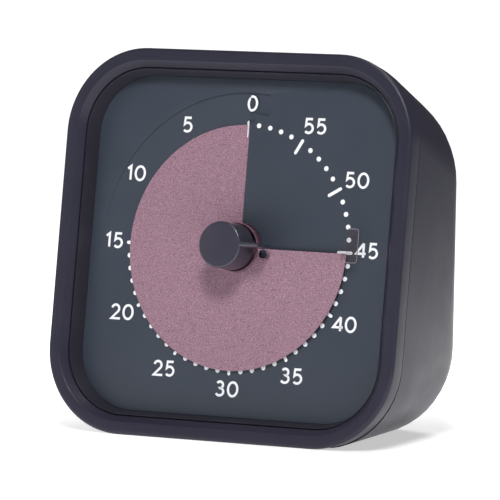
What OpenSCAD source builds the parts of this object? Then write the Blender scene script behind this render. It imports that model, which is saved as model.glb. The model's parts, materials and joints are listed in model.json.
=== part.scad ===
// Kitchen timer: square bezel, coloured time disk that leaves and enters a slit in the dial.
// World frame: +Z up, front towards -Y, origin at the middle of the footprint.
// Face frame: origin at the dial's centre on its flat front, x right, y up the dial, z outwards.

/* [Body] */
// Width and height of the bezel's front outline
front_size = 89; // [84:0.5:100]
// Largest depth from the bezel's lip to the back
body_depth = 54; // [53:0.5:65]
// Angle the face leans back, which is also the draught of the four side walls
recline = 7.5; // [5:0.5:9]
// Radius of the bezel's corners seen from the front
corner_r = 19.8; // [18:0.1:21]
// Rounding between the side walls and the back wall
back_round = 14; // [12:0.5:15]
// Radius of the back's corners seen from behind
back_corner_r = 21; // [18:0.5:23]
// Wall thickness of the rear shell
wall = 1.6; // [1.4:0.1:2]

/* [Bezel and ring] */
// Height of the bezel's front plane above the dial
bezel_height = 5.7; // [5:0.1:6.5]
// Width of the bezel's flat band
band_w = 3; // [2.5:0.1:3.2]
// Width of the bezel's inner chamfer
chamfer_w = 1.4; // [1.2:0.1:1.5]
// Depth of the bezel's inner chamfer
chamfer_d = 1.6; // [1:0.1:2]
// Width of the groove between bezel and inner ring
groove_w = 0.15; // [0.1:0.05:0.3]
// Thickness of the inner ring at its base
ring_w = 1.35; // [1.2:0.05:1.4]
// Height of the inner ring above the dial
ring_height = 4; // [3:0.1:4.5]

/* [Dial and disk] */
// Radius of the time disk
disk_r = 28.1; // [24:0.1:28.6]
// Thickness of the time disk's sheet
sheet_t = 0.15; // [0.1:0.01:0.2]
// Rise of the disk's spiral in one turn
pitch = 2; // [1.9:0.05:2.4]
// Radius of the sunk ramp's outer wall
recess_r = 35.5; // [32:0.1:36]
// Minutes shown at rest
rest_minutes = 45; // [40:1:50]

/* [Knob] */
// Radius of the knob
knob_r = 5.3; // [4.8:0.1:5.3]
// Height of the knob's front above the dial
knob_height = 9.3; // [8:0.1:11]
// Reach of the pointer fin from the axis
fin_reach = 9.85; // [8.5:0.05:12]
// Radius of the spindle
spindle_r = 1.5; // [1.3:0.1:1.6]

/* [Movement] */
// Teeth of the centre wheel
centre_teeth = 60; // [60:1:60]
// Teeth of the third wheel
third_teeth = 64; // [64:1:64]
// Teeth of the seconds wheel
seconds_teeth = 60; // [60:1:60]
// Teeth of the third and seconds pinions
pinion_teeth = 8; // [8:1:8]
// Teeth of the rotor pinion
rotor_teeth = 10; // [10:1:10]
// Module of the centre wheel and third pinion
coarse_module = 0.32; // [0.3:0.01:0.33]
// Module of the other wheels
fine_module = 0.25; // [0.24:0.01:0.26]

/* [Battery] */
// Radius of the AA cell
cell_r = 7.1; // [7:0.05:7.25]
// Length of the AA cell with its terminal
cell_l = 50.5; // [49.5:0.1:50.5]
// Thickness of the battery door
door_t = 1.8; // [1.6:0.1:2.2]

/* [Hidden] */
$fn = 64;
eps = 0.01;
over = 1;

// Clearances
fit_gap = 0.05;
run_gap = 0.04;
seam_gap = 0.3;

// Face frame placed in the world frame, with the lower side wall lying on Z = 0
half = front_size / 2;
core = half - corner_r;
edge_round = 0.8;
edge_u = corner_r - edge_round * (1 + tan(recline));
lip_reach = (bezel_height - edge_round) * cos(recline) + (core + edge_u) * sin(recline) + edge_round;
face_y = lip_reach - body_depth / 2;
face_z = half * cos(recline) - bezel_height * sin(recline);
back_y = body_depth / 2;

// Half-size and corner radius at a height z over the dial
function draught(z) = (bezel_height - z) * tan(recline);
function side_u(z) = corner_r - draught(z);

// Levels in the face frame, from front to back
dial_t = 2.75;
plate_t = 1.9;
plate_front = -dial_t;
plate_back = plate_front - plate_t;
plate_u = side_u(plate_back) - wall - 0.2;
tray_front = plate_back - 0.1;
tray_floor_t = 1.2;
tray_floor = tray_front - tray_floor_t;
tray_back = -18.6;
cover_t = 1.2;

// Ring section, measured outwards from the corner centres
bezel_in_u = corner_r - band_w - chamfer_w;
ring_out_u = bezel_in_u - groove_w;
dial_u = ring_out_u - ring_w;
tongue_u = side_u(plate_front) - wall - 0.1;
tongue_back = plate_front;
plate_screw_u = (bezel_in_u + tongue_u) / 2;

// Spiral of the disk: level of the sheet's lower face at an unrolled angle
rise = pitch / 360;
step_d = pitch / 4;
rest_angle = rest_minutes * 6;
spiral_step = 5;
cavity_r = disk_r + 0.6;
hub_r = knob_r + 0.4;
hub_wall = 0.35;
hub_hole_r = hub_r + 0.3;
slit_w = 0.45;
slit_lap = 0.2;
slit_floor = -step_d - 0.02;
sheet_turn = 358.5;
plateau_r = disk_r + 2.55;
recess_side_x = 5.2;
function sheet_z(a) = -step_d + fit_gap + rise * a;
function on_dial(r, a) = [-r * sin(a), r * cos(a)];

// Knob and hub levels
neck_r = 3;
neck_flat = 2.4;
knob_base = 2.4;
neck_back = -4.2;
knob_socket = 7;
hub_front = sheet_z(rest_angle) + sheet_t + 0.3;
hub_back = -1.3;
hub_web_t = 0.8;
fin_base = 3;
fin_root_w = 1.3;
fin_tip_w = 0.75;
fin_y = 0.4;

// Edge tab
tab_in = disk_r + 0.4;
tab_lug_in = disk_r - 0.9;
tab_lug_low = -1.6;
tab_foot = [-0.38, -0.06];
tab_out = disk_r + 3.2;
tab_low = -2.1;
tab_high = 5.5;
tab_t = 0.45;
tab_z = sheet_z(rest_angle) + 0.6;
relief_at = [6.95, -1.15];

// Movement
case_low = [-18, -17];
case_high = [26, 20];
case_wall = 1.2;
arbor_r = 0.5;
wheel_t = 0.8;
pinion_l = 2.6;
boss_r = spindle_r + 1.2;
ear_out = 2.2;
ear_x = [case_low[0] - ear_out, case_high[0] + ear_out];
ear_y = 12;
ear_r = 2.6;
ear_t = 2;
third_dir = 60;
seconds_dir = -10;
rotor_dir = -90;
coarse_distance = coarse_module * (centre_teeth + pinion_teeth) / 2;
fine_distance = fine_module * (third_teeth + pinion_teeth) / 2;
rotor_distance = fine_module * (seconds_teeth + rotor_teeth) / 2;
third_at = coarse_distance * [cos(third_dir), sin(third_dir)];
seconds_at = third_at + fine_distance * [cos(seconds_dir), sin(seconds_dir)];
rotor_at = seconds_at + rotor_distance * [cos(rotor_dir), sin(rotor_dir)];
stator_z = -16.5;
stator_t = 1.8;
stator_top = stator_z + stator_t;
centre_z = -9.2;
flange_top = centre_z - 0.75;
flange_t = 0.4;
spindle_back = stator_top + 1;
third_z = -11.2;
seconds_z = -13.4;
magnet_z = -16.8;
magnet_t = 2.4;
magnet_r = 3;
coil_y = -11.5;
coil_r = 3;
coil_l = 16;
coil_x = 4.5;
core_half = 1.2;
board_z = -12.6;
board_high = [-6.4, 17];

// Plate screws and case screws
plate_screw_r = 0.5;
plate_head_r = 0.95;
plate_head_t = 0.6;
plate_screw_at = core + plate_screw_u * cos(45);
post_at = core + 3.3;
post_split = -12.2;
post_r = 3;
well_r = 2.6;
seat_t = 2;
case_head_t = 1.2;
screw_r = 0.9;

// Battery compartment, in the world frame
cell_z = 24;
cell_gap = 0.65;
bay_half_x = 26.9;
bay_half_z = cell_r + cell_gap;
door_half_x = 27.8;
door_gap = 0.2;
door_back = back_y - 0.5;
bay_front = door_back - door_t - 2 * cell_r - 0.7;
cell_y = bay_front + cell_r + 0.3;
door_low = cell_z - bay_half_z - 1.35;
door_high = cell_z + bay_half_z + 1.75;
door_axis_y = door_back - door_t / 2;
door_axis_z = door_low + door_t / 2;
door_pin_r = 0.55;
door_pin_l = 1.4;
nail_r = 2.4;
bay_wall = 1.2;

// Back controls, in the world frame
control_z = 53;
buzzer_x = -12;
buzzer_r = 9;
buzzer_t = 3.2;
sound_hole_r = 0.8;
switch_x = 16;
switch_travel = 3;
button_w = 5;
button_h = 4;
switch_deep = 8;

shell_colour = [0.23, 0.235, 0.29];
ring_colour = [0.18, 0.17, 0.2];
dial_colour = [0.26, 0.29, 0.34];
disk_colour = [0.6, 0.47, 0.53];
knob_colour = [0.25, 0.25, 0.3];
metal_colour = [0.7, 0.7, 0.72];
brass_colour = [0.78, 0.66, 0.4];
gear_colour = [0.9, 0.9, 0.86];

module face_frame() {
    translate([0, face_y, face_z]) rotate([90 - recline, 0, 0]) children();
}

// A bar along Y between two world levels
module along_y(r, from, to) {
    translate([0, to, 0]) rotate([90, 0, 0]) cylinder(r = r, h = to - from);
}

module box(low, high) {
    translate(low) cube(high - low);
}

// Rounded square with exact arcs, u beyond the corner centres
module rounded(u) {
    square([2 * core, 2 * (core + u)], center = true);
    square([2 * (core + u), 2 * core], center = true);
    for (x = [-core, core], y = [-core, core]) translate([x, y]) circle(r = u);
}

// A frame with the section of its children, swept round the rounded square
module section_ring() {
    for (turn = [0:90:270]) rotate(turn) {
        translate([core, core, 0]) rotate_extrude(angle = 90) children();
        translate([core, core, 0]) rotate([90, 0, 0]) linear_extrude(2 * core) children();
    }
}

module four_corners(at) {
    for (x = [-at, at], y = [-at, at]) translate([x, y, 0]) children();
}

module plug(r, from, to) {
    translate([0, 0, from]) cylinder(r = r, h = to - from);
}

module front_bezel() {
    arc = [for (a = [0:18:90]) [
        side_u(bezel_height - edge_round) - edge_round + edge_round * cos(a),
        bezel_height - edge_round + edge_round * sin(a)]];
    section = concat(
        [[side_u(seam_gap / 2), seam_gap / 2]],
        arc,
        [[bezel_in_u + chamfer_w, bezel_height],
         [bezel_in_u, bezel_height - chamfer_d],
         [bezel_in_u, tongue_back],
         [tongue_u, tongue_back],
         [tongue_u, seam_gap / 2]]);
    color(shell_colour) face_frame() difference() {
        section_ring() polygon(section);
        four_corners(plate_screw_at) plug(plate_screw_r + fit_gap, tongue_back - 1, bezel_height - 2.5);
    }
}

module inner_ring() {
    lip = 0.25;
    section = [[dial_u, 0], [ring_out_u - lip, ring_height], [ring_out_u, ring_height - lip],
        [ring_out_u, plate_front], [dial_u, plate_front]];
    color(ring_colour) face_frame() section_ring() polygon(section);
}

// One upright slice of the rear shell's outline, at a world depth, drawn in by inset
module upright_slice(y, inset) {
    depth = bezel_height + (y - face_y) * cos(recline);
    side = half - depth * tan(recline);
    top = face_z + half * cos(recline) + bezel_height * sin(recline)
        - (y - face_y - half * sin(recline) + bezel_height * cos(recline)) * tan(2 * recline);
    r = back_corner_r - inset;
    low = -0.3 + inset;
    high = top - inset;
    across = side - inset;
    translate([0, y, 0]) rotate([90, 0, 0]) linear_extrude(eps) {
        translate([-across, low + r]) square([2 * across, high - low - 2 * r]);
        translate([-across + r, low]) square([2 * across - 2 * r, high - low]);
        for (x = [-across + r, across - r], z = [low + r, high - r])
            translate([x, z]) circle(r = r, $fn = 48);
    }
}

// Outer or inner form of the rear shell, t inside the outer face
module shell_form(t) {
    front = t > 0 ? seam_gap : -seam_gap / 2;
    start = back_y - back_round;
    hull() {
        face_frame() translate([0, 0, front - eps]) linear_extrude(eps) {
            rounded(side_u(front) - t, $fn = 48);
            translate([0, -0.3]) rounded(side_u(front) - t, $fn = 48);
        }
        for (a = [0:(t > 0 ? 30 : 9):90])
            upright_slice(start + (back_round - t) * sin(a), t + (back_round - t) * (1 - cos(a)));
    }
}

module rear_shell_fittings() {
    face_frame() four_corners(post_at) plug(post_r + 0.8, -body_depth, post_split);
    pad = 2.7;
    box([-bay_half_x - bay_wall, bay_front - bay_wall, cell_z - bay_half_z - bay_wall],
        [bay_half_x + bay_wall, back_y, cell_z + bay_half_z + bay_wall]);
    box([-door_half_x - pad, door_back - 2 * door_t, door_low - bay_wall],
        [door_half_x + pad, back_y, door_high + bay_wall]);
    translate([buzzer_x, 0, control_z])
        along_y(buzzer_r + 1.3, back_y - wall - 2.8, back_y);
    for (side = [-1, 1])
        translate([switch_x + side * 8.2, 0, control_z])
            box([-1, back_y - wall - switch_deep, -2], [1, back_y, 2]);
}

module rear_shell() {
    color(shell_colour) difference() {
        union() {
            difference() {
                shell_form(0);
                shell_form(wall);
            }
            intersection() {
                rear_shell_fittings();
                shell_form(0);
            }
        }
        // level base, case screw wells and pockets for the plate screws' heads
        box([-front_size, -front_size, -half], [front_size, front_size, 0]);
        face_frame() four_corners(post_at) {
            plug(screw_r + 0.2, -body_depth, post_split + over);
            plug(well_r, -2 * body_depth, post_split - seat_t);
        }
        face_frame() four_corners(plate_screw_at)
            plug(plate_head_r + 0.25, plate_back - plate_head_t - 0.4, plate_back + over);
        // battery bay, door seat and hinge bores
        box([-bay_half_x, bay_front, cell_z - bay_half_z],
            [bay_half_x, back_y + 1, cell_z + bay_half_z]);
        box([-door_half_x - door_gap, door_back - door_t - 0.1, door_low - 0.1],
            [door_half_x + door_gap, back_y + 1, door_high + 0.1]);
        for (side = [-1, 1]) mirror([side > 0 ? 0 : 1, 0, 0])
            translate([door_half_x, door_axis_y, door_axis_z]) rotate([0, 90, 0])
                cylinder(r = door_pin_r + fit_gap, h = door_pin_l + 0.2);
        translate([0, back_y, door_high]) sphere(r = nail_r);
        // buzzer seat and sound holes
        translate([buzzer_x, 0, control_z]) {
            along_y(buzzer_r + 0.1, back_y - 10, back_y - wall);
            along_y(sound_hole_r, back_y - 2 * wall, back_y + over);
            for (turn = [0:60:300]) rotate([0, turn, 0]) translate([3.6, 0, 0])
                along_y(sound_hole_r, back_y - 2 * wall, back_y + over);
        }
        // switch slot in a shallow recess
        translate([switch_x, 0, control_z]) {
            box([-button_w / 2 - 0.2, back_y - wall - 1, -button_h / 2 - 0.2],
                [button_w / 2 + switch_travel + 0.2, back_y + 1, button_h / 2 + 0.2]);
            box([-button_w / 2 - 1.5, back_y - 0.7, -button_h / 2 - 1.5],
                [button_w / 2 + switch_travel + 1.5, back_y + 1, button_h / 2 + 1.5]);
        }
    }
}

// Wedge between a spiral face and a flat end level, over a range of unrolled angles
module spiral_wedge(r_in, r_out, from, to, level, flat_z) {
    turns = ceil((to - from) / spiral_step);
    angle = [for (i = [0:turns]) from + (to - from) * i / turns];
    points = [for (a = angle) each [
        [each on_dial(r_in, a), level + rise * a],
        [each on_dial(r_out, a), level + rise * a],
        [each on_dial(r_out, a), flat_z],
        [each on_dial(r_in, a), flat_z]]];
    spiral_solid(points, turns, flat_z < level + rise * from);
}

// Closed solid through quads of four points, one quad per step
module spiral_solid(points, turns, flip) {
    sides = [for (i = [0:turns - 1], k = [0:3]) let (n = (k + 1) % 4)
        each [[4 * i + k, 4 * i + n, 4 * i + 4 + n], [4 * i + k, 4 * i + 4 + n, 4 * i + 4 + k]]];
    last = 4 * turns;
    ends = [[0, 3, 2, 1], [last, last + 1, last + 2, last + 3]];
    faces = concat(sides, ends);
    polyhedron(points, flip ? [for (f = faces) [for (i = [len(f) - 1:-1:0]) f[i]]] : faces);
}

module dial_plate() {
    color(dial_colour) face_frame() difference() {
        translate([0, 0, -dial_t]) linear_extrude(dial_t) rounded(dial_u - fit_gap);
        plug(hub_hole_r, -dial_t - 1, over);
        // sunk ramp from the slit at zero, running out just past the fifteen minute mark
        spiral_wedge(1, recess_r, 0, 95, -step_d, over);
        // level floor of the recess on the far side of the slit
        translate([0, 0, slit_floor]) linear_extrude(over - slit_floor) intersection() {
            difference() {
                circle(r = recess_r);
                circle(r = plateau_r);
            }
            translate([-slit_lap, 0]) square([recess_side_x + slit_lap, recess_r + 1]);
        }
        // slit, and the notch that joins it to the recess
        box([-slit_lap, hub_r, slit_floor], [slit_w, cavity_r + 0.3, over]);
        box([-slit_lap, cavity_r, slit_floor], [1.6, plateau_r + 0.2, over]);
        // spiral room for the hidden part of the disk
        spiral_wedge(1, cavity_r, 0.8, 359.8,
            -step_d - pitch + 2 * fit_gap + sheet_t, -dial_t - 1);
    }
}

module time_disk() {
    turns = 72;
    angle = [for (i = [0:turns]) rest_angle - sheet_turn * (1 - i / turns)];
    inner = hub_r + 0.03;
    points = [for (a = angle) each [
        [each on_dial(inner, a), sheet_z(a)],
        [each on_dial(disk_r, a), sheet_z(a)],
        [each on_dial(disk_r, a), sheet_z(a) + sheet_t],
        [each on_dial(inner, a), sheet_z(a) + sheet_t]]];
    color(disk_colour) face_frame() difference() {
        spiral_solid(points, turns, false);
        rotate(rest_angle - 270) translate(relief_at) plug(1, sheet_z(rest_angle - 30), 5);
    }
}

module neck_2d(r, flat) {
    intersection() {
        circle(r = r);
        translate([-r, -r]) square([r + flat, 2 * r]);
    }
}

module disk_hub() {
    color(disk_colour) face_frame() difference() {
        plug(hub_r, hub_back, hub_front);
        plug(hub_r - hub_wall, hub_back + hub_web_t, hub_front + 1);
        translate([0, 0, hub_back - 1]) linear_extrude(hub_web_t + 2)
            neck_2d(neck_r + fit_gap, neck_flat + fit_gap);
    }
}

module edge_tab() {
    corner = 0.6;
    foot_out = disk_r - 0.15;
    color([0.85, 0.87, 0.9, 0.4]) face_frame() rotate(rest_angle - 270) {
        translate([0, 0, tab_z]) linear_extrude(tab_t) {
            translate([tab_in, tab_low + corner])
                square([tab_out - tab_in, tab_high - tab_low - 2 * corner]);
            translate([tab_in, tab_low])
                square([tab_out - tab_in - corner, tab_high - tab_low]);
            for (y = [tab_low + corner, tab_high - corner])
                translate([tab_out - corner, y]) circle(r = corner, $fn = 24);
            translate([tab_lug_in, tab_lug_low])
                square([tab_in - tab_lug_in + eps, tab_foot[1] - tab_lug_low]);
        }
        box([tab_lug_in, tab_foot[0], sheet_z(rest_angle) + sheet_t + 0.02],
            [foot_out, tab_foot[1], tab_z + eps]);
    }
}

module knob() {
    bevel = 0.35;
    color(knob_colour) face_frame() rotate(rest_angle - 270) difference() {
        union() {
            plug(knob_r, knob_base, knob_height - bevel);
            translate([0, 0, knob_height - bevel])
                cylinder(r1 = knob_r, r2 = knob_r - bevel, h = bevel);
            translate([0, 0, neck_back]) linear_extrude(knob_base - neck_back + eps)
                rotate(270 - rest_angle) neck_2d(neck_r, neck_flat);
            translate([0, fin_y, 0]) fin();
        }
        plug(spindle_r, neck_back - 1, knob_socket);
    }
}

// Pointer fin, flush with the knob's front
module fin() {
    root_x = knob_r - 1;
    translate([0, 0, fin_base]) linear_extrude(knob_height - fin_base) polygon([
        [root_x, -fin_root_w / 2], [fin_reach, -fin_tip_w / 2],
        [fin_reach, fin_tip_w / 2], [root_x, fin_root_w / 2]]);
}

module spindle() {
    color(metal_colour) face_frame() {
        plug(spindle_r, spindle_back, knob_socket - 0.1);
        plug(spindle_r + 1, flange_top - flange_t, flange_top);
    }
}

module clutch_washer() {
    color(brass_colour) face_frame() difference() {
        plug(spindle_r + 1.9, flange_top + 0.02, flange_top + 0.27);
        plug(spindle_r + run_gap, flange_top - 1, flange_top + 1);
    }
}

module mounting_plate() {
    hub_room = hub_hole_r + 1;
    color([0.3, 0.3, 0.33]) face_frame() difference() {
        union() {
            translate([0, 0, plate_back]) linear_extrude(plate_t - 0.02) rounded(plate_u);
            four_corners(post_at) plug(post_r, post_split + 0.02, plate_back + eps);
        }
        plug(hub_room, plate_back - 1, 0);
        four_corners(plate_screw_at) plug(plate_screw_r + 0.1, plate_back - 1, 0);
        four_corners(post_at) plug(screw_r + fit_gap, post_split - 1, plate_back + 0.5);
        for (x = ear_x, y = [-ear_y, ear_y]) translate([x, y, 0])
            plug(screw_r + fit_gap, plate_back - 1, 0);
    }
}

module case_outline(grow) {
    translate(case_low - [grow, grow])
        square(case_high - case_low + 2 * [grow, grow]);
}

module movement_front_case() {
    color([0.85, 0.85, 0.82]) face_frame() {
        difference() {
            union() {
                translate([0, 0, tray_back]) linear_extrude(tray_front - tray_back) case_outline(0);
                for (x = ear_x, y = [-ear_y, ear_y]) translate([x, y, 0]) {
                    plug(ear_r, tray_front - ear_t, tray_front);
                }
            }
            translate([0, 0, tray_back - 1]) linear_extrude(tray_floor - tray_back + 1)
                case_outline(-case_wall);
            plug(spindle_r + run_gap, tray_floor - 5, 0);
            for (x = ear_x, y = [-ear_y, ear_y]) translate([x, y, 0])
                plug(screw_r + 0.1, tray_front - 5, 0);
        }
        difference() {
            plug(boss_r, centre_z + wheel_t + 0.4, tray_floor + eps);
            plug(spindle_r + run_gap, tray_floor - 5, 0);
        }
        for (at = [third_at, seconds_at, rotor_at]) translate(at)
            plug(arbor_r, tray_back + 0.1, tray_floor + eps);
    }
}

module movement_rear_case() {
    lip = 1;
    color([0.88, 0.88, 0.85]) face_frame() difference() {
        union() {
            translate([0, 0, tray_back - cover_t]) linear_extrude(cover_t - 0.02) case_outline(0);
            translate([0, 0, tray_back - 0.4 * lip]) linear_extrude(lip) difference() {
                case_outline(-case_wall - 0.1);
                case_outline(-case_wall - 1);
            }
        }
        plug(0.6, tray_back - 5, tray_back + 5);
    }
}

// Gear outline with straight-sided teeth, one tooth centred on the direction given
module gear_2d(teeth, size, add, ded, root_share, tip_share, direction) {
    r = teeth * size / 2;
    span = 360 / teeth;
    polygon([for (i = [0:teeth - 1]) let (a = direction + i * span) each [
        (r - ded * size) * [cos(a - root_share * span / 2), sin(a - root_share * span / 2)],
        (r + add * size) * [cos(a - tip_share * span / 2), sin(a - tip_share * span / 2)],
        (r + add * size) * [cos(a + tip_share * span / 2), sin(a + tip_share * span / 2)],
        (r - ded * size) * [cos(a + root_share * span / 2), sin(a + root_share * span / 2)]]]);
}

module wheel_2d(teeth, size, direction) {
    gear_2d(teeth, size, 0.75, 1.1, 0.46, 0.16, direction);
}

module pinion_2d(teeth, size, direction) {
    gear_2d(teeth, size, 0.7, 1.1, 0.46, 0.16, direction + 180 + 180 / teeth);
}

module arbor_bore() {
    plug(arbor_r + run_gap, 2 * tray_back, 0);
}

module centre_wheel() {
    lightening_r = 1.5;
    lightening_at = 5.6;
    color(gear_colour) face_frame() difference() {
        union() {
            translate([0, 0, centre_z]) linear_extrude(wheel_t)
                wheel_2d(centre_teeth, coarse_module, third_dir);
            plug(boss_r, centre_z - 0.4, centre_z + wheel_t + 0.3);
        }
        plug(spindle_r + run_gap, centre_z - 5, 0);
        for (turn = [0:60:300]) rotate(turn) translate([lightening_at, 0, 0])
            plug(lightening_r, centre_z - over, centre_z + wheel_t + over);
    }
}

module third_wheel() {
    color(gear_colour) face_frame() translate(third_at) difference() {
        union() {
            translate([0, 0, third_z]) linear_extrude(wheel_t)
                wheel_2d(third_teeth, fine_module, seconds_dir);
            translate([0, 0, third_z + wheel_t - eps]) linear_extrude(pinion_l)
                pinion_2d(pinion_teeth, coarse_module, third_dir);
        }
        arbor_bore();
    }
}

module seconds_wheel() {
    color(gear_colour) face_frame() translate(seconds_at) difference() {
        union() {
            translate([0, 0, seconds_z]) linear_extrude(wheel_t)
                wheel_2d(seconds_teeth, fine_module, rotor_dir);
            translate([0, 0, seconds_z + wheel_t - eps]) linear_extrude(pinion_l)
                pinion_2d(pinion_teeth, fine_module, seconds_dir);
        }
        arbor_bore();
    }
}

module rotor() {
    color([0.35, 0.35, 0.38]) face_frame() translate(rotor_at) difference() {
        union() {
            plug(magnet_r, magnet_z, magnet_z + magnet_t);
            translate([0, 0, magnet_z + magnet_t - eps]) linear_extrude(pinion_l)
                pinion_2d(rotor_teeth, fine_module, rotor_dir);
        }
        arbor_bore();
    }
}

module stator() {
    ring = 1.8;
    hole = magnet_r + 0.4;
    leg_w = 2.4;
    left = coil_x - coil_l / 2 - leg_w - 0.3;
    right = coil_x + coil_l / 2 + 0.3;
    color(metal_colour) face_frame() translate([0, 0, stator_z]) linear_extrude(stator_t) difference() {
        union() {
            translate(rotor_at) circle(r = hole + ring);
            translate([left, coil_y - core_half]) square([leg_w, rotor_at[1] - coil_y + 2 * core_half]);
            translate([right, coil_y - core_half]) square([leg_w, rotor_at[1] - coil_y]);
            translate([left, rotor_at[1] - core_half]) square([rotor_at[0] - left - hole, 2 * core_half]);
            translate([left, coil_y - core_half]) square([right - left + leg_w, 2 * core_half]);
        }
        translate(rotor_at) circle(r = hole);
    }
}

module coil() {
    flange = 0.6;
    middle_z = stator_z + stator_t / 2;
    color([0.72, 0.42, 0.22]) face_frame()
        translate([coil_x - coil_l / 2, coil_y, middle_z]) difference() {
            rotate([0, 90, 0]) union() {
                plug(coil_r - 0.6, 0, coil_l);
                plug(coil_r, 0, flange);
                plug(coil_r, coil_l - flange, coil_l);
            }
            box([-1, -core_half - 0.03, -stator_t / 2 - 0.03],
                [coil_l + 1, core_half + 0.03, stator_t / 2 + 0.03]);
        }
}

module circuit_board() {
    board_t = 1;
    lap = 0.05;
    chip_blob = [-12, 6];
    capacitor = [-15, -8];
    low = case_low + [case_wall + 0.3, case_wall + 0.3];
    color([0.16, 0.4, 0.24]) face_frame() {
        translate([low[0], low[1], board_z]) linear_extrude(board_t)
            square([board_high[0] - low[0] - case_wall, board_high[1] - low[1]]);
        translate([chip_blob[0], chip_blob[1], board_z - 0.8]) cylinder(r = 2.6, h = 0.8 + lap);
        translate([capacitor[0], capacitor[1], board_z - 1.4]) cube([3.2, 1.6, 1.4 + lap]);
    }
}

module timing_crystal() {
    can_r = 1;
    color(metal_colour) face_frame() translate([-8.8, -8, board_z - can_r - 0.05])
        rotate([-90, 0, 0]) {
            cylinder(r = can_r, h = 6);
            for (x = [-0.4, 0.4]) translate([x, 0, -2]) cylinder(r = 0.18, h = 2.01);
        }
}

module buzzer() {
    rear = back_y - wall - 0.05;
    color([0.12, 0.12, 0.13]) translate([buzzer_x, 0, control_z]) difference() {
        along_y(buzzer_r, rear - buzzer_t, rear);
        along_y(1.2, rear - 1.2, rear + 1);
    }
}

module battery_cell() {
    nub_r = 2.7;
    nub_l = 1;
    color([0.2, 0.2, 0.22]) translate([-cell_l / 2 + 0.7, cell_y, cell_z]) rotate([0, 90, 0]) {
        cylinder(r = cell_r, h = cell_l - nub_l);
        cylinder(r = nub_r, h = cell_l);
    }
}

// Round wire along a conical helix about X
module battery_spring() {
    wire = 0.3;
    sides = 8;
    steps = 48;
    loops = 2;
    base_x = -bay_half_x + 0.7 + wire;
    reach = -cell_l / 2 + 0.7 - wire - 0.1 - base_x;
    function ring(i) = let (a = 360 * loops * i / steps, r = 4.6 - 1.6 * i / steps)
        [for (k = [0:sides - 1]) let (b = 360 * k / sides, q = r + wire * cos(b))
            [base_x + reach * i / steps + wire * sin(b), q * cos(a), q * sin(a)]];
    points = [for (i = [0:steps]) each ring(i)];
    walls = [for (i = [0:steps - 1], k = [0:sides - 1]) let (n = (k + 1) % sides)
        each [[i * sides + k, i * sides + n, (i + 1) * sides + n],
              [i * sides + k, (i + 1) * sides + n, (i + 1) * sides + k]]];
    ends = [[for (k = [sides - 1:-1:0]) k], [for (k = [0:sides - 1]) steps * sides + k]];
    color(metal_colour) translate([0, cell_y, cell_z]) {
        polyhedron(points, concat(walls, ends));
        box([-bay_half_x + 0.05, -5.5, -5.5], [base_x - wire / 2, 5.5, 5.5]);
    }
}

module battery_contact() {
    right = bay_half_x - 0.05;
    color(metal_colour) translate([0, cell_y, cell_z]) {
        box([right - 0.5, -5, -5], [right, 5, 5]);
        tip = cell_l / 2 + 0.75;
        translate([tip, 0, 0]) rotate([0, 90, 0]) cylinder(r = 2, h = right - 0.5 - tip + eps);
    }
}

module battery_door() {
    latch = [5, 1.6, 1.2];
    color(shell_colour) difference() {
        union() {
            box([-door_half_x, door_back - door_t, door_axis_z], [door_half_x, door_back, door_high]);
            translate([-door_half_x, door_axis_y, door_axis_z]) rotate([0, 90, 0])
                cylinder(r = door_t / 2, h = 2 * door_half_x);
            translate([-door_half_x - door_pin_l, door_axis_y, door_axis_z]) rotate([0, 90, 0])
                cylinder(r = door_pin_r, h = 2 * (door_half_x + door_pin_l));
            box([-latch[0], door_back - door_t - latch[1], cell_z + bay_half_z - 0.3 - latch[2]],
                [latch[0], door_back - door_t + eps, cell_z + bay_half_z - 0.3]);
        }
        translate([0, back_y, door_high]) sphere(r = nail_r);
        for (x = [-18, -6, 6, 18]) translate([x, 0, 0])
            box([-4, door_back - 0.3, cell_z - 4], [4, back_y, cell_z - 3.4]);
    }
}

module alert_switch() {
    flange_y = back_y - wall - 0.1;
    tip = back_y - 0.1;
    color([0.62, 0.2, 0.2]) translate([switch_x, 0, control_z]) difference() {
        union() {
            box([-button_w / 2, flange_y - eps, -button_h / 2], [button_w / 2, tip, button_h / 2]);
            box([-button_w / 2 - 1.2, flange_y - 1.2, -button_h / 2 - 1],
                [button_w / 2 + 1.2, flange_y, button_h / 2 + 1]);
            box([-0.8, flange_y - 3.6, -1], [0.8, flange_y - 1.19, 1]);
        }
        for (x = [-1.5, 0, 1.5]) box([x - 0.3, tip - 0.4, -3], [x + 0.3, tip + 1, 3]);
    }
}

module alert_switch_body() {
    front = back_y - wall - switch_deep;
    rear = back_y - wall - 2;
    color([0.75, 0.75, 0.73]) translate([switch_x, 0, control_z]) difference() {
        box([-7.1, front, -3.4], [7.1, rear, 3.4]);
        box([-1.2, front + 2.5, -1.3], [switch_travel + 1.2, rear + 1, 1.3]);
    }
}

// Cross-recessed screw, head at the back, pointing outwards
module screw(r, head_r, head_t, back, length) {
    difference() {
        union() {
            plug(head_r, back, back + head_t);
            plug(r, back + head_t - eps, back + length);
        }
        for (turn = [0, 90]) rotate(turn)
            translate([-head_r * 0.6, -0.2, back - 1]) cube([head_r * 1.2, 0.4, 1.5]);
    }
}

module case_screws() {
    back = post_split - seat_t - case_head_t - 0.02;
    color(metal_colour) face_frame() four_corners(post_at)
        screw(screw_r, 2 * screw_r, case_head_t, back, 10);
}

module plate_screws() {
    back = plate_back - plate_head_t - 0.02;
    color(metal_colour) face_frame() four_corners(plate_screw_at)
        screw(plate_screw_r, plate_head_r, plate_head_t, back, 6.8);
}

module movement_screws() {
    head_t = 1.1;
    color(metal_colour) face_frame() for (x = ear_x, y = [-ear_y, ear_y]) translate([x, y, 0])
        screw(screw_r, 1.7, head_t, tray_front - ear_t - head_t - 0.02, 4.7);
}

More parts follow.
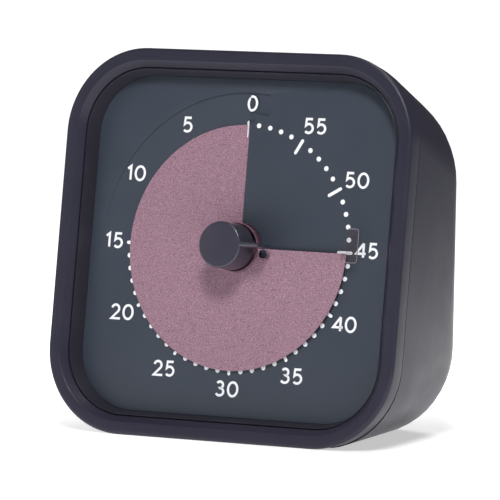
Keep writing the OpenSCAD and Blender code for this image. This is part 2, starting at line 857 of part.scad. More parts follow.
front_bezel();
inner_ring();
rear_shell();
dial_plate();
time_disk();
disk_hub();
edge_tab();
knob();
spindle();
clutch_washer();
mounting_plate();
movement_front_case();
movement_rear_case();
centre_wheel();
third_wheel();
seconds_wheel();
rotor();
stator();
coil();
circuit_board();
timing_crystal();
buzzer();
battery_cell();
battery_spring();
battery_contact();
battery_door();
alert_switch();
alert_switch_body();
case_screws();
plate_screws();
movement_screws();
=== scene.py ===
"""Looks of the kitchen timer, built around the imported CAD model."""
import json
import math

import bmesh
import bpy
from mathutils import Matrix, Vector


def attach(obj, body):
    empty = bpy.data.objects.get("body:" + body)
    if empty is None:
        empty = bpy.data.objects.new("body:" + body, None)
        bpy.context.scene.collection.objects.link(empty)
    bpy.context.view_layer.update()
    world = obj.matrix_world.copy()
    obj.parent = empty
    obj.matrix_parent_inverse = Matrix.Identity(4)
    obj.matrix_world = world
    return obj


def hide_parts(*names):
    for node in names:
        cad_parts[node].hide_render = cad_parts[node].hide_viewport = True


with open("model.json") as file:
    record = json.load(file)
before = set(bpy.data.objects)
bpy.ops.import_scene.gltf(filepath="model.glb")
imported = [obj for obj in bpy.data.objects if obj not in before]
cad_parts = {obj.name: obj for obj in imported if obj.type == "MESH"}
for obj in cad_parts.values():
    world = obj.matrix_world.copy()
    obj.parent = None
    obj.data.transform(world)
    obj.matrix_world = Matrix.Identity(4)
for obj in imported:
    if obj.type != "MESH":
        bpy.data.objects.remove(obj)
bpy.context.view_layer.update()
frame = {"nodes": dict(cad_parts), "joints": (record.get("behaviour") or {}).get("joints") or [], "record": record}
MM = 0.001
scene = bpy.context.scene
scene.view_settings.view_transform = "Standard"

# ---------------------------------------------------------------- the face frame
# x right, y up the dial, z outwards, in millimetres from the dial's centre on its flat front
knob_joint = next(j for j in frame["joints"] if j["name"] == "knob_turn")
disk_coupling = frame["record"]["behaviour"]["couplings"][0]
OUT = Vector(knob_joint["axis"]).normalized()
RIGHT = Vector((1, 0, 0))
UP = OUT.cross(RIGHT).normalized()
DIAL = Vector(knob_joint["pos_m"])
FACE = Matrix((RIGHT, UP, OUT)).transposed()


def face(x, y, z):
    """A point of the face frame in world metres."""
    return DIAL + FACE @ (Vector((x, y, z)) * MM)


# sizes, the same as the CAD's, in millimetres
RECLINE = math.atan2(OUT.z, -OUT.y)
HALF = 44.5
CORNER_R = 19.8
CORE = HALF - CORNER_R
BEZEL_H = 5.7
BAND_W = 3.0
CHAMFER_W = 1.4
CHAMFER_D = 1.6
GROOVE_W = 0.15
RING_W = 1.35
RING_H = 4.0
DIAL_T = 2.75
BEZEL_IN = CORNER_R - BAND_W - CHAMFER_W
RING_OUT = BEZEL_IN - GROOVE_W
DIAL_U = RING_OUT - RING_W
SEAM = 0.15
PITCH = disk_coupling["ratio"] * 2 * math.pi / MM
STEP = PITCH / 4
RISE = PITCH / 360
GAP = 0.05
SHEET_T = 0.15
SHEET_SPAN = 358.5
SHEET_LEAD = 0.3
REST = 270
DISK_R = 28.1
HUB_R = 5.7
HUB_IN = 5.35
RECESS_R = 35.5
KNOB_R = 5.3
KNOB_H = 9.3
KNOB_BASE = 2.4
NECK_R = 3.0
NECK_BACK = -4.2
DOT_RING = 28.27
PRINT_TURN = 0.3
PRINT_T = 0.03
SOFT_STEPS = 4


def side_u(z):
    """The outer wall's distance from the corner centres at a height over the dial."""
    return CORNER_R - (BEZEL_H - z) * math.tan(RECLINE)


def dial_z(x, y):
    """Height of the dial's front surface: flat, or the ramp from 0 to 15 minutes."""
    turn = math.degrees(math.atan2(-x, y)) % 360
    if turn < 90 and math.hypot(x, y) < RECESS_R:
        return -STEP + RISE * turn
    return 0.0


# ---------------------------------------------------------------- materials
def srgb(r, g, b):
    """Linear colour from eight-bit values."""
    def one(v):
        v /= 255
        return v / 12.92 if v <= 0.04045 else ((v + 0.055) / 1.055) ** 2.4
    return (one(r), one(g), one(b), 1)


def node(tree, kind, **values):
    made = tree.nodes.new(kind)
    for name, value in values.items():
        made.inputs[name].default_value = value
    return made


def plastic(name, colour, rough=0.42, grain=2.2, grain_depth=0.006, vary=0.08, coat=0.0, specular=0.5):
    """Moulded plastic: fine spark-eroded grain, cloudy colour and handling wear in its gloss."""
    mat = bpy.data.materials.new(name)
    mat.use_nodes = True
    tree = mat.node_tree
    shader = tree.nodes["Principled BSDF"]
    shader.inputs["Coat Weight"].default_value = coat
    shader.inputs["Coat Roughness"].default_value = 0.12
    shader.inputs["Specular IOR Level"].default_value = specular
    place = node(tree, "ShaderNodeTexCoord")
    cloud = node(tree, "ShaderNodeTexNoise", Scale=90.0, Detail=5.0, Roughness=0.6)
    fine = node(tree, "ShaderNodeTexNoise", Scale=grain * 1000, Detail=3.0, Roughness=0.7)
    for noise in (cloud, fine):
        tree.links.new(place.outputs["Object"], noise.inputs["Vector"])
    tint = tree.nodes.new("ShaderNodeMix")
    tint.data_type = "RGBA"
    tint.inputs[6].default_value = [c * (1 - vary) for c in colour[:3]] + [1]
    tint.inputs[7].default_value = [c * (1 + vary) for c in colour[:3]] + [1]
    tree.links.new(cloud.outputs["Fac"], tint.inputs["Factor"])
    tree.links.new(tint.outputs[2], shader.inputs["Base Color"])
    gloss = node(tree, "ShaderNodeMapRange")
    gloss.inputs["From Min"].default_value = 0.3
    gloss.inputs["From Max"].default_value = 0.7
    gloss.inputs["To Min"].default_value = rough - 0.04
    gloss.inputs["To Max"].default_value = rough + 0.05
    tree.links.new(cloud.outputs["Fac"], gloss.inputs["Value"])
    tree.links.new(gloss.outputs["Result"], shader.inputs["Roughness"])
    bump = node(tree, "ShaderNodeBump", Strength=0.35, Distance=grain_depth * MM)
    tree.links.new(fine.outputs["Fac"], bump.inputs["Height"])
    tree.links.new(bump.outputs["Normal"], shader.inputs["Normal"])
    return mat


def speckled_sheet(name, colour):
    """The disk's sheet: mauve with a fine light and dark fleck."""
    mat = plastic(name, colour, rough=0.6, grain=3.0, vary=0.03)
    tree = mat.node_tree
    shader = tree.nodes["Principled BSDF"]
    base = shader.inputs["Base Color"].links[0].from_socket
    place = tree.nodes["Texture Coordinate"]
    fleck = node(tree, "ShaderNodeTexNoise", Scale=5200.0, Detail=2.0, Roughness=0.5)
    tree.links.new(place.outputs["Object"], fleck.inputs["Vector"])
    ramp = tree.nodes.new("ShaderNodeValToRGB")
    ramp.color_ramp.elements[0].position = 0.34
    ramp.color_ramp.elements[0].color = (0.56, 0.50, 0.53, 1)
    ramp.color_ramp.elements[1].position = 0.66
    ramp.color_ramp.elements[1].color = (1.55, 1.52, 1.54, 1)
    tree.links.new(fleck.outputs["Fac"], ramp.inputs["Fac"])
    mix = tree.nodes.new("ShaderNodeMix")
    mix.data_type = "RGBA"
    mix.blend_type = "MULTIPLY"
    mix.inputs["Factor"].default_value = 1.0
    tree.links.new(base, mix.inputs[6])
    tree.links.new(ramp.outputs["Color"], mix.inputs[7])
    tree.links.new(mix.outputs[2], shader.inputs["Base Color"])
    return mat


def metal(name, colour, rough=0.3, stretch=(1, 1, 12)):
    """Plated metal with drawn scratches."""
    mat = bpy.data.materials.new(name)
    mat.use_nodes = True
    tree = mat.node_tree
    shader = tree.nodes["Principled BSDF"]
    shader.inputs["Metallic"].default_value = 1.0
    place = node(tree, "ShaderNodeTexCoord")
    mapping = node(tree, "ShaderNodeMapping", Scale=stretch)
    noise = node(tree, "ShaderNodeTexNoise", Scale=900.0, Detail=4.0)
    tree.links.new(place.outputs["Object"], mapping.inputs["Vector"])
    tree.links.new(mapping.outputs["Vector"], noise.inputs["Vector"])
    tint = tree.nodes.new("ShaderNodeMix")
    tint.data_type = "RGBA"
    tint.inputs[6].default_value = [c * 0.85 for c in colour[:3]] + [1]
    tint.inputs[7].default_value = list(colour[:3]) + [1]
    tree.links.new(noise.outputs["Fac"], tint.inputs["Factor"])
    tree.links.new(tint.outputs[2], shader.inputs["Base Color"])
    gloss = node(tree, "ShaderNodeMapRange")
    gloss.inputs["To Min"].default_value = rough - 0.08
    gloss.inputs["To Max"].default_value = rough + 0.12
    tree.links.new(noise.outputs["Fac"], gloss.inputs["Value"])
    tree.links.new(gloss.outputs["Result"], shader.inputs["Roughness"])
    return mat


def clear_plastic(name):
    """Clear sheet with faint moulding ripples."""
    mat = plastic(name, (0.86, 0.88, 0.92, 1), rough=0.08, grain=0.4, grain_depth=0.01, vary=0.02)
    shader = mat.node_tree.nodes["Principled BSDF"]
    shader.inputs["Transmission Weight"].default_value = 1.0
    shader.inputs["IOR"].default_value = 1.49
    return mat


def tinted(name, colour, alpha, rough=0.15):
    """Thin clear plastic, as a see-through tint with a glossy face."""
    mat = plastic(name, colour, rough=rough, vary=0.04, grain=0.3, grain_depth=0.01)
    mat.node_tree.nodes["Principled BSDF"].inputs["Alpha"].default_value = alpha
    return mat


MATERIALS = {
    "shell": plastic("shell", srgb(46, 45, 59), rough=0.36, specular=0.30),
    "ring": plastic("ring", srgb(46, 44, 54), rough=0.36),
    "dial": plastic("dial", srgb(54, 61, 73), rough=0.5, specular=0.4),
    "disk": speckled_sheet("disk", srgb(143, 112, 126)),
    "clear": clear_plastic("clear"),
    "knob": plastic("knob", srgb(56, 55, 68), rough=0.3, grain_depth=0.003, coat=0.3),
    "steel": metal("steel", (0.62, 0.62, 0.64)),
    "brass": metal("brass", (0.66, 0.48, 0.22)),
    "inner_plastic": plastic("inner_plastic", (0.03, 0.03, 0.035, 1), rough=0.5),
    "movement_plastic": plastic("movement_plastic", (0.6, 0.6, 0.56, 1), rough=0.4),
    "gear_plastic": plastic("gear_plastic", (0.75, 0.73, 0.66, 1), rough=0.35),
    "magnet": plastic("magnet", (0.05, 0.05, 0.055, 1), rough=0.6, grain=1.2, grain_depth=0.02),
    "copper_wire": metal("copper_wire", (0.6, 0.24, 0.1), rough=0.35, stretch=(14, 1, 1)),
    "board": plastic("board", (0.02, 0.13, 0.05, 1), rough=0.3, coat=0.4),
    "cell_can": plastic("cell_can", (0.05, 0.05, 0.06, 1), rough=0.25, coat=0.6, grain=0.3),
    "switch_red": plastic("switch_red", (0.35, 0.04, 0.04, 1), rough=0.4),
}
TAB = tinted("tab_clear", srgb(92, 72, 78), 0.13)
# light grey and half opaque: a painted highlight for the clear tab's edges
TAB_PAINTED_HIGHLIGHT = tinted("tab_edge_painted_highlight", srgb(150, 148, 155), 0.55)
# the collar is coloured darker than the disk: painted shade inside the collar, round the knob's neck
PAINTED_SHADE_COLLAR = speckled_sheet("collar", srgb(92, 62, 76))
PRINT = plastic("dial_print", srgb(243, 244, 248), rough=0.55, vary=0.02)


# ---------------------------------------------------------------- mesh helpers
def piece(name, verts, faces, slot, body="root", replaced=(), smooth=True, material=None, angle=35):
    """A mesh piece that rides on a body, with its normals smoothed up to an angle."""
    mesh = bpy.data.meshes.new(name)
    mesh.from_pydata([tuple(v) for v in verts], [], faces)
    form = bmesh.new()
    form.from_mesh(mesh)
    bmesh.ops.remove_doubles(form, verts=form.verts, dist=1e-7)
    bmesh.ops.recalc_face_normals(form, faces=form.faces)
    form.to_mesh(mesh)
    form.free()
    mesh.materials.append(material or MATERIALS[slot])
    made = bpy.data.objects.new(name, mesh)
    scene.collection.objects.link(made)
    if smooth:
        mesh.shade_smooth()
        mesh.set_sharp_from_angle(angle=math.radians(angle))
    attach(made, body)
    if replaced:
        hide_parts(*replaced)
    return made


def arc(cx, cy, r, start, end, steps):
    """Points along an arc, angles in degrees."""
    return [(cx + r * math.cos(math.radians(start + (end - start) * i / steps)),
             cy + r * math.sin(math.radians(start + (end - start) * i / steps)))
            for i in range(steps + 1)]


def soften(points, r, steps=SOFT_STEPS):
    """The closed outline with each sharp corner rounded by r."""
    out = []
    count = len(points)
    for i, here in enumerate(points):
        here = Vector(here)
        back = Vector(points[i - 1]) - here
        ahead = Vector(points[(i + 1) % count]) - here
        cut = min(r, back.length * 0.45, ahead.length * 0.45)
        if back.angle(ahead) > math.radians(165):
            out.append(tuple(here))
            continue
        start = here + back.normalized() * cut
        end = here + ahead.normalized() * cut
        for k in range(steps + 1):
            t = k / steps
            out.append(tuple(start * (1 - t) ** 2 + here * 2 * t * (1 - t) + end * t * t))
    return out


def round_path(corner_steps=24, side_steps=8):
    """Points round the core square as (centre x, centre y, direction angle)."""
    path = []
    for k, (sx, sy) in enumerate(((1, 1), (-1, 1), (-1, -1), (1, -1))):
        for i in range(corner_steps + 1):
            path.append((sx * CORE, sy * CORE, 90 * k + 90 * i / corner_steps))
        nx, ny = ((-1, 1), (-1, -1), (1, -1), (1, 1))[k]
        for i in range(1, side_steps):
            t = i / side_steps
            x, y = sx + (nx - sx) * t, sy + (ny - sy) * t
            path.append((x * CORE, y * CORE, 90 * (k + 1)))
    return path


def section_ring(name, section, slot, replaced):
    """A frame with the given (u, z) section, swept round the rounded square."""
    path = round_path()
    verts = []
    for cx, cy, turn in path:
        dx, dy = math.cos(math.radians(turn)), math.sin(math.radians(turn))
        verts += [face(cx + u * dx, cy + u * dy, z) for u, z in section]
    n, m = len(path), len(section)
    faces = [(i * m + k, i * m + (k + 1) % m, ((i + 1) % n) * m + (k + 1) % m, ((i + 1) % n) * m + k)
             for i in range(n) for k in range(m)]
    return piece(name, verts, faces, slot, replaced=replaced, angle=40)


def lathe(name, section, slot, body, replaced=(), steps=128, closed=True, angle=35, material=None):
    """A turned piece about the dial's axis, from an (r, z) section."""
    verts = []
    for i in range(steps):
        a = 2 * math.pi * i / steps
        verts += [face(r * math.cos(a), r * math.sin(a), z) for r, z in section]
    m = len(section)
    last = m if closed else m - 1
    faces = [(i * m + k, ((i + 1) % steps) * m + k, ((i + 1) % steps) * m + (k + 1) % m, i * m + (k + 1) % m)
             for i in range(steps) for k in range(last)]
    return piece(name, verts, faces, slot, body, replaced, angle=angle, material=material)


def prism(name, outline, low, high, slot, body, replaced=(), material=None, angle=30):
    """An outline in the dial plane between two levels, which may be functions of x and y."""
    def level(value, x, y):
        return value(x, y) if callable(value) else value
    n = len(outline)
    verts = [face(x, y, level(low, x, y)) for x, y in outline]
    verts += [face(x, y, level(high, x, y)) for x, y in outline]
    faces = [tuple(range(n - 1, -1, -1)), tuple(range(n, 2 * n))]
    faces += [(i, (i + 1) % n, n + (i + 1) % n, n + i) for i in range(n)]
    return piece(name, verts, faces, slot, body, replaced, material=material, angle=angle)


def ribbon(points, width, closed=False):
    """Outline of a stroke along points, as left and right edges."""
    left, right = [], []
    n = len(points)
    for i, p in enumerate(points):
        before = points[i - 1] if (i or closed) else p
        after = points[(i + 1) % n] if (i < n - 1 or closed) else p
        d0 = Vector(p) - Vector(before)
        d1 = Vector(after) - Vector(p)
        d0 = d0.normalized() if d0.length > 1e-9 else d1.normalized()
        d1 = d1.normalized() if d1.length > 1e-9 else d0
        middle = d0 + d1
        middle = middle.normalized() if middle.length > 1e-6 else d0
        normal = Vector((-middle.y, middle.x))
        stretch = 1 / max(0.45, normal.dot(Vector((-d0.y, d0.x))))
        left.append(Vector(p) + normal * width / 2 * stretch)
        right.append(Vector(p) - normal * width / 2 * stretch)
    return left, right


def strip(name, left, right, low, high, slot, body, material):
    """A thin ribbon solid between two edges and two levels."""
    n = len(left)
    verts = []
    for a, b in zip(left, right):
        verts += [face(a[0], a[1], low), face(b[0], b[1], low)]
        verts += [face(b[0], b[1], high), face(a[0], a[1], high)]
    faces = [(0, 1, 2, 3), (4 * n - 4, 4 * n - 3, 4 * n - 2, 4 * n - 1)]
    for i in range(n - 1):
        for k in range(4):
            faces.append((4 * i + k, 4 * i + (k + 1) % 4, 4 * i + 4 + (k + 1) % 4, 4 * i + 4 + k))
    return piece(name, verts, faces, slot, body, material=material, smooth=False)


def on_dial(r, turn):
    """A point at a radius and an angle counterclockwise from the zero mark."""
    a = math.radians(turn)
    return (-r * math.sin(a), r * math.cos(a))


# ---------------------------------------------------------------- visible pieces
def front_bezel():
    """The square frame: sloped side wall, rounded nose, flat band, chamfer and inner wall."""
    foot_w, nose_r, edge_r = 1.6, 0.8, 0.16
    section = [(side_u(SEAM), SEAM), (CORNER_R, BEZEL_H), (CORNER_R - BAND_W, BEZEL_H),
               (BEZEL_IN, BEZEL_H - CHAMFER_D), (BEZEL_IN, -DIAL_T), (BEZEL_IN + foot_w, -DIAL_T),
               (BEZEL_IN + foot_w, SEAM)]
    nose_z = BEZEL_H - nose_r
    outline = [section[0]]
    outline += arc(side_u(nose_z) - nose_r, nose_z, nose_r, 0, 90, 8)
    # the seam's edge stays sharp and the nose has its own radius, so both softened corners go
    outline += soften(section, edge_r)[2 * (SOFT_STEPS + 1):]
    section_ring("bezel_frame", outline, "shell", ["front_bezel"])


def inner_ring():
    """The dark trim, sloping from the bezel down to the dial."""
    lip = 0.25
    section = soften([(DIAL_U, 0.0), (RING_OUT - lip, RING_H), (RING_OUT, RING_H - lip),
                      (RING_OUT, -DIAL_T), (DIAL_U, -DIAL_T)], 0.1)
    section_ring("ring_trim", section, "ring", ["inner_ring"])


def time_disk():
    """The spiral sheet, with its relief hole beside the leading edge."""
    turns, rings, hub_gap = 360, 12, 0.03
    radii = [HUB_R + hub_gap]
    radii += [HUB_R + (DISK_R - HUB_R) * i / rings for i in range(1, rings + 1)]
    verts = []
    for i in range(turns + 1):
        a = REST - SHEET_LEAD - SHEET_SPAN * (1 - i / turns)
        z = -STEP + GAP + RISE * a
        for r in radii:
            verts.append(face(*on_dial(r, a), z))
        for r in radii:
            verts.append(face(*on_dial(r, a), z + SHEET_T))
    n = len(radii)
    row = 2 * n
    faces = []
    for i in range(turns):
        a, b = i * row, (i + 1) * row
        for k in range(n - 1):
            faces.append((a + k, a + k + 1, b + k + 1, b + k))
            faces.append((a + n + k, b + n + k, b + n + k + 1, a + n + k + 1))
        faces.append((a, b, b + n, a + n))
        faces.append((a + n - 1, a + row - 1, b + row - 1, b + n - 1))
    for start in (0, turns * row):
        for k in range(n - 1):
            faces.append((start + k, start + n + k, start + n + k + 1, start + k + 1))
    made = piece("disk_sheet", verts, faces, "disk", "disk", ["time_disk"], angle=50)
    hole_at, hole_r, hole_sides = (6.95, -1.15), 1.0, 47
    cutter_outline = arc(*hole_at, hole_r, 0, 360, hole_sides)[:-1]
    cutter = prism("hole_cutter", cutter_outline, 0.3, 3, "disk", "disk")
    cut = made.modifiers.new("relief_hole", "BOOLEAN")
    cut.operation = "DIFFERENCE"
    cut.object = cutter
    cut.solver = "EXACT"
    bpy.context.view_layer.objects.active = made
    with bpy.context.temp_override(object=made, active_object=made):
        bpy.ops.object.modifier_apply(modifier=cut.name)
    bpy.data.objects.remove(cutter)


def disk_hub():
    """The disk's collar round the knob, coloured darker than the disk to paint the shade inside it, with a rim of
    the disk's own colour on its front edge.
    """
    top = -STEP + GAP + RISE * REST + SHEET_T + 0.3
    low, web, bore, rim_w, rim_t = -1.3, -0.5, NECK_R + 0.06, 0.16, 0.1
    section = soften([(HUB_R, low), (HUB_R, top), (HUB_IN, top), (HUB_IN, web),
                      (bore, web), (bore, low)], 0.1)
    lathe("hub_collar", section, "disk", "disk", ["disk_hub"], material=PAINTED_SHADE_COLLAR)
    rim = soften([(HUB_R - rim_w, top - rim_t), (HUB_R, top - rim_t), (HUB_R, top),
                  (HUB_R - rim_w, top)], 0.05)
    lathe("hub_rim", rim, "disk", "disk")


def knob():
    """Round knob and its neck, turned in one."""
    foot, nose_r = 0.25, 0.4
    section = [(0, NECK_BACK), (NECK_R, NECK_BACK), (NECK_R, KNOB_BASE), (KNOB_R - foot, KNOB_BASE),
               (KNOB_R, KNOB_BASE + foot)]
    section += arc(KNOB_R - nose_r, KNOB_H - nose_r, nose_r, 0, 90, 6) + [(0, KNOB_H)]
    lathe("knob_body", section, "knob", "knob", ["knob"], steps=160, closed=False, angle=40)


def fin():
    """The knob's pointer: a bar that narrows outwards, with its front edges broken."""
    root_x, tip_x, base_z = KNOB_R - 0.5, 9.7, 3.0
    root_w, tip_w, mid_y, edge = 0.6, 0.375, 0.4, 0.1
    top = KNOB_H - 0.02
    rows = []
    count = 12
    for i in range(count + 1):
        t = i / count
        x = root_x + (tip_x - root_x) * t
        w = root_w + (tip_w - root_w) * t
        rows.append([(x, mid_y - w, base_z), (x, mid_y + w, base_z), (x, mid_y + w, top - edge),
                     (x, mid_y + w - edge, top), (x, mid_y - w + edge, top), (x, mid_y - w, top - edge)])
    verts = [face(*p) for row in rows for p in row]
    faces = [tuple(range(5, -1, -1)), tuple(range(count * 6, count * 6 + 6))]
    for i in range(count):
        for k in range(6):
            faces.append((i * 6 + k, i * 6 + (k + 1) % 6, (i + 1) * 6 + (k + 1) % 6, (i + 1) * 6 + k))
    piece("knob_fin", verts, faces, "knob", "knob", angle=50)


def edge_tab():
    """Clear tab on the leading edge: a tinted plate with a light grey strip along its outer edges as a painted
    highlight.
    """
    low, high, inner, outer, highlight_w = -2.1, 5.5, 28.5, 31.3, 0.2
    lug_in, lug_low, foot_out, foot_low, foot_high = 27.2, -1.6, 27.95, -0.38, -0.06
    z, thick, rim_t, foot_z = 1.65, 0.45, 0.03, 1.22
    corner = 0.6
    outline = [(lug_in, lug_low), (inner, lug_low), (inner, low), (outer - corner, low)]
    outline += arc(outer - corner, low + corner, corner, -90, 0, 6)[1:]
    outline += arc(outer - corner, high - corner, corner, 0, 90, 6)
    outline += [(inner, high), (inner, foot_high), (lug_in, foot_high)]
    prism("tab_plate", outline, z, z + thick, "clear", "disk", ["edge_tab"], material=TAB)
    # a light strip along the plate's outer edges: the painted highlight where clear plastic edges catch the light
    rim = [(inner, high), (outer - corner, high)]
    rim += arc(outer - corner, high - corner, corner, 90, 0, 6)[1:]
    rim += arc(outer - corner, low + corner, corner, 0, -90, 6)
    rim += [(inner, low)]
    left, right = ribbon(rim, highlight_w)
    strip("tab_rim_painted_highlight", right, left, z + thick - rim_t, z + thick, "clear", "disk", TAB_PAINTED_HIGHLIGHT)
    foot = [(lug_in, foot_low), (foot_out, foot_low), (foot_out, foot_high), (lug_in, foot_high)]
    prism("tab_foot", foot, foot_z, z, "clear", "disk", material=TAB)


# ---------------------------------------------------------------- print
# numerals: height, stroke, step from digit to digit (a leading 1 is narrower), width of one high
CAP = 3.15
STROKE = 0.56
ADVANCE = 3.15
NARROW_BY = 0.75
DIGIT_W = 0.76
# minute dots and the ticks at every fifth minute, which stop short beside the ramp
DOT_R = 0.56
TICK_IN = 25.2
TICK_OUT = 29.1
TICK_OUT_RAMP = 28.2
TICK_HALF_W = 0.375
RAMP_END = 15
def bend(cx, cy, rx, ry, start, end, steps=18):
    """Points along an elliptical arc, angles in degrees."""
    turns = [math.radians(start + (end - start) * i / steps) for i in range(steps + 1)]
    return [(cx + rx * math.cos(a), cy + ry * math.sin(a)) for a in turns]


def digit_strokes(digit):
    """Centre lines of a digit, one unit high, as (points, closed)."""
    w = DIGIT_W
    if digit == "0":
        return [(bend(w / 2, 0.5, w / 2, 0.5, 90, 450, 40)[:-1], True)]
    if digit == "1":
        return [([(0.1, 0.8), (0.36, 1.0), (0.36, 0.0)], False)]
    if digit == "2":
        return [(bend(0.33, 0.71, 0.29, 0.29, 168, -38) + [(0.02, 0.0), (w - 0.02, 0.0)], False)]
    if digit == "3":
        upper = bend(0.32, 0.76, 0.25, 0.24, 150, -80)
        lower = bend(0.32, 0.27, 0.31, 0.27, 88, -152)
        return [(upper + lower, False)]
    if digit == "4":
        return [([(0.56, 0.0), (0.56, 1.0)], False), ([(0.56, 1.0), (0.0, 0.27), (0.75, 0.27)], False)]
    bowl = bend(0.31, 0.32, 0.33, 0.32, 118, -140, 22)
    return [([(0.6, 1.0), (0.12, 1.0), (0.07, 0.52)] + bowl, False)]


def printed(name, strips):
    """Thin raised print made of strips of quads, each a list of (left, right) points."""
    verts, faces = [], []
    for left, right, closed in strips:
        start = len(verts)
        n = len(left)
        for a, b in zip(left, right):
            for p in (a, b):
                z = dial_z(p[0], p[1])
                verts.append(face(p[0], p[1], z + PRINT_T))
                verts.append(face(p[0], p[1], z - PRINT_T))
        for i in range(n if closed else n - 1):
            a, b = start + 4 * i, start + 4 * ((i + 1) % n)
            faces.append((a, a + 2, b + 2, b))
            faces.append((a + 1, b + 1, b + 3, a + 3))
            faces.append((a, b, b + 1, a + 1))
            faces.append((a + 2, a + 3, b + 3, b + 2))
        if not closed:
            end = start + 4 * (n - 1)
            faces.append((start, start + 1, start + 3, start + 2))
            faces.append((end, end + 2, end + 3, end + 1))
    return piece(name, verts, faces, "dial", material=PRINT, smooth=False)


# where each numeral's middle stands on the dial
NUMERAL_AT = {0: (0.6, 33.0), 5: (-15.7, 27.6), 10: (-28.4, 15.9), 15: (-32.5, 0.2),
              20: (-28.9, -16.2), 25: (-16.6, -28.5), 30: (-0.1, -32.2), 35: (16.3, -28.3),
              40: (28.5, -15.9), 45: (32.8, 0.9), 50: (28.8, 16.6), 55: (17.3, 28.4)}


def numeral(minute, centre):
    """The digits of a minute mark, centred at a point of the dial."""
    text = str(minute)
    strips = []
    advance = ADVANCE - (NARROW_BY if text[0] == "1" else 0)
    for i, digit in enumerate(text):
        x0 = centre[0] + (i - (len(text) - 1) / 2) * advance - DIGIT_W / 2 * CAP
        y0 = centre[1] - CAP / 2
        for points, closed in digit_strokes(digit):
            line = [(x0 + x * CAP, y0 + y * CAP) for x, y in points]
            strips.append((*ribbon(line, STROKE, closed), closed))
    printed(f"numeral_{minute}", strips)


def disc_strip(cx, cy, r, steps=14):
    """A round dot as one strip from side to side."""
    left, right = [], []
    for i in range(steps + 1):
        a = math.pi * i / steps
        left.append((cx - r * math.cos(a), cy + r * math.sin(a) + 1e-4))
        right.append((cx - r * math.cos(a), cy - r * math.sin(a) - 1e-4))
    return (left, right, False)


def dot_ring(minute):
    """Radius of a minute's dot: pulled in beside the ramp, and a little on the right."""
    if minute < RAMP_END:
        return DOT_RING - 0.85
    return DOT_RING - (0.15 if minute > 44 else 0)


def minute_marks():
    """A dot for each minute and a round-ended tick for each fifth one."""
    dots, ticks = [], []
    for minute in range(60):
        if minute % 5:
            dots.append(disc_strip(*on_dial(dot_ring(minute), minute * 6 + PRINT_TURN), DOT_R))
        else:
            r0, w = TICK_IN, TICK_HALF_W
            r1 = TICK_OUT_RAMP if 0 < minute < RAMP_END else TICK_OUT
            line = []
            for i in range(9):
                a = math.pi / 2 * i / 8
                line.append((r0 + w * (1 - math.cos(a)), w * math.sin(a) + 1e-4))
            for i in range(9):
                a = math.pi / 2 * (1 - i / 8)
                line.append((r1 - w * (1 - math.cos(a)), w * math.sin(a) + 1e-4))
            ux, uy = on_dial(1, minute * 6 + PRINT_TURN)
            left = [(ux * r - uy * s, uy * r + ux * s) for r, s in line]
            right = [(ux * r + uy * s, uy * r - ux * s) for r, s in line]
            ticks.append((left, right, False))
    printed("minute_dots", dots)
    printed("five_minute_ticks", ticks)


# ---------------------------------------------------------------- CAD nodes
def dress_cad():
    """Every CAD node gets its material, welded faces and smooth normals; the rear shell, dial plate, battery door
    and alert switch also get small edge breaks.
    """
    slots = {s["node"]: s["material_slot"] for s in frame["record"]["subparts"]}
    breaks = {"rear_shell": 0.28, "dial_plate": 0.13, "battery_door": 0.25,
              "alert_switch": 0.15}
    for name, made in frame["nodes"].items():
        made.data.materials.clear()
        made.data.materials.append(MATERIALS[slots[name]])
        weld = made.modifiers.new("weld", "WELD")
        weld.merge_threshold = 0.002 * MM
        made.data.shade_smooth()
        made.data.set_sharp_from_angle(angle=math.radians(28))
        if name in breaks:
            bevel = made.modifiers.new("edge_break", "BEVEL")
            bevel.width = breaks[name] * MM
            bevel.segments = 3
            bevel.limit_method = "ANGLE"
            bevel.angle_limit = math.radians(38)
            bevel.harden_normals = False


# ---------------------------------------------------------------- stage
def area_light(name, at, aim, size, watts):
    """A soft rectangular light that faces a point."""
    data = bpy.data.lights.new(name, "AREA")
    data.shape = "RECTANGLE"
    data.size, data.size_y = size
    data.energy = watts
    made = bpy.data.objects.new(name, data)
    scene.collection.objects.link(made)
    made.location = at
    made.rotation_euler = (Vector(aim) - Vector(at)).to_track_quat("-Z", "Y").to_euler()


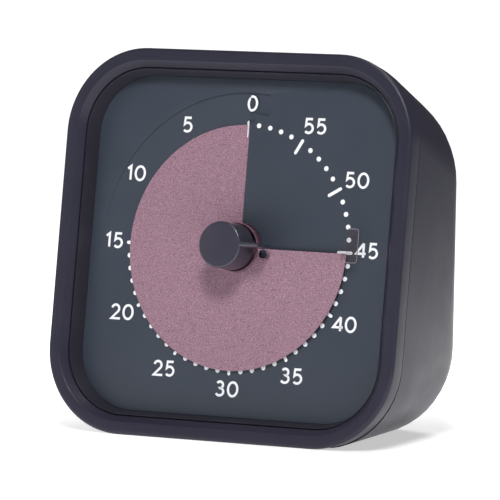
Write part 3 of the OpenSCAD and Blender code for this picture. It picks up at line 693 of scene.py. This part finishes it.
def glowing_paper():
    """White paper lit from within along the strip behind the timer, dimmer to both sides, with a painted shadow
    where its glow dims round the timer's foot.
    """
    mat = plastic("floor", (0.8, 0.8, 0.8, 1), rough=0.8, vary=0.004, grain_depth=0.0, specular=0.2)
    tree = mat.node_tree
    place = tree.nodes["Texture Coordinate"]
    glow = None
    strips = [((0.908, 0.417, 0), 0.12, 0.34, 1.0, 0.12), ((-0.852, -0.523, 0), 0.15, 0.45, 1.0, 0.12),
              ((-0.47, 0.88, 0), -0.40, -0.18, 0.12, 1.0)]
    for across, near, far, first, last in strips:
        reach = tree.nodes.new("ShaderNodeVectorMath")
        reach.operation = "DOT_PRODUCT"
        reach.inputs[1].default_value = across
        tree.links.new(place.outputs["Object"], reach.inputs[0])
        fade = node(tree, "ShaderNodeMapRange")
        fade.interpolation_type = "SMOOTHSTEP"
        for socket, value in zip(("From Min", "From Max", "To Min", "To Max"), (near, far, first, last)):
            fade.inputs[socket].default_value = value
        tree.links.new(reach.outputs["Value"], fade.inputs["Value"])
        glow = joined(tree, glow, fade.outputs["Result"])
    # painted shadow: the glow falls to about half towards a point just right of the timer's middle
    shadow_middle_distance = tree.nodes.new("ShaderNodeVectorMath")
    shadow_middle_distance.operation = "DISTANCE"
    shadow_middle_distance.inputs[1].default_value = (0.035, 0, 0)
    tree.links.new(place.outputs["Object"], shadow_middle_distance.inputs[0])
    painted_shadow_fade = node(tree, "ShaderNodeMapRange")
    for socket, value in zip(("From Min", "From Max", "To Min", "To Max"), (0.035, 0.12, 0.52, 1.04)):
        painted_shadow_fade.inputs[socket].default_value = value
    tree.links.new(shadow_middle_distance.outputs["Value"], painted_shadow_fade.inputs["Value"])
    glow = joined(tree, glow, painted_shadow_fade.outputs["Result"])
    shader = tree.nodes["Principled BSDF"]
    tree.links.new(glow, shader.inputs["Emission Color"])
    shader.inputs["Emission Strength"].default_value = 1.0
    return mat


def joined(tree, first, second):
    """The product of two values, or the second alone."""
    if first is None:
        return second
    made = tree.nodes.new("ShaderNodeMath")
    made.operation = "MULTIPLY"
    tree.links.new(first, made.inputs[0])
    tree.links.new(second, made.inputs[1])
    return made.outputs["Value"]


def stage():
    """Floor, a faint even world and three soft lights."""
    floor_mesh = bpy.data.meshes.new("floor")
    reach = 30.0
    floor_mesh.from_pydata([(-reach, -reach, 0), (reach, -reach, 0), (reach, reach, 0), (-reach, reach, 0)],
                           [], [(0, 1, 2, 3)])
    floor = bpy.data.objects.new("floor", floor_mesh)
    scene.collection.objects.link(floor)
    floor_mesh.materials.append(glowing_paper())
    world = bpy.data.worlds.new("studio")
    scene.world = world
    world.use_nodes = True
    world.node_tree.nodes["Background"].inputs["Color"].default_value = (1, 1, 1, 1)
    world.node_tree.nodes["Background"].inputs["Strength"].default_value = 0.06
    middle = (0, 0, 0.045)
    area_light("key", (0.30, -0.64, 0.70), middle, (0.22, 0.22), 6.1)
    area_light("top", (0.15, 0.20, 0.85), middle, (0.5, 0.3), 3.0)
    area_light("left", (-0.65, -0.55, 0.30), middle, (0.3, 0.4), 0.5)


def camera():
    """Long lens, from the right and a little above, turned slightly about its axis."""
    yaw, elevation, roll = math.radians(28.14), math.radians(3.90), math.radians(1.10)
    distance = 1089.1 * MM
    forward = Vector((-math.sin(yaw) * math.cos(elevation), math.cos(yaw) * math.cos(elevation),
                      -math.sin(elevation)))
    level = forward.cross(Vector((0, 0, 1))).normalized()
    upward = level.cross(forward)
    right = level * math.cos(roll) + upward * math.sin(roll)
    up = right.cross(forward)
    aim = DIAL + right * 2.64 * MM - up * 0.52 * MM
    data = bpy.data.cameras.new("camera")
    data.sensor_width = 36.0
    data.lens = 345.0
    data.clip_start = 0.05
    made = bpy.data.objects.new("camera", data)
    scene.collection.objects.link(made)
    turn = Matrix((right, up, -forward)).transposed().to_4x4()
    made.matrix_world = Matrix.Translation(aim - forward * distance) @ turn
    scene.camera = made


camera()
stage()
dress_cad()
front_bezel()
inner_ring()
time_disk()
disk_hub()
edge_tab()
knob()
fin()
minute_marks()
for mark, middle in NUMERAL_AT.items():
    numeral(mark, middle)
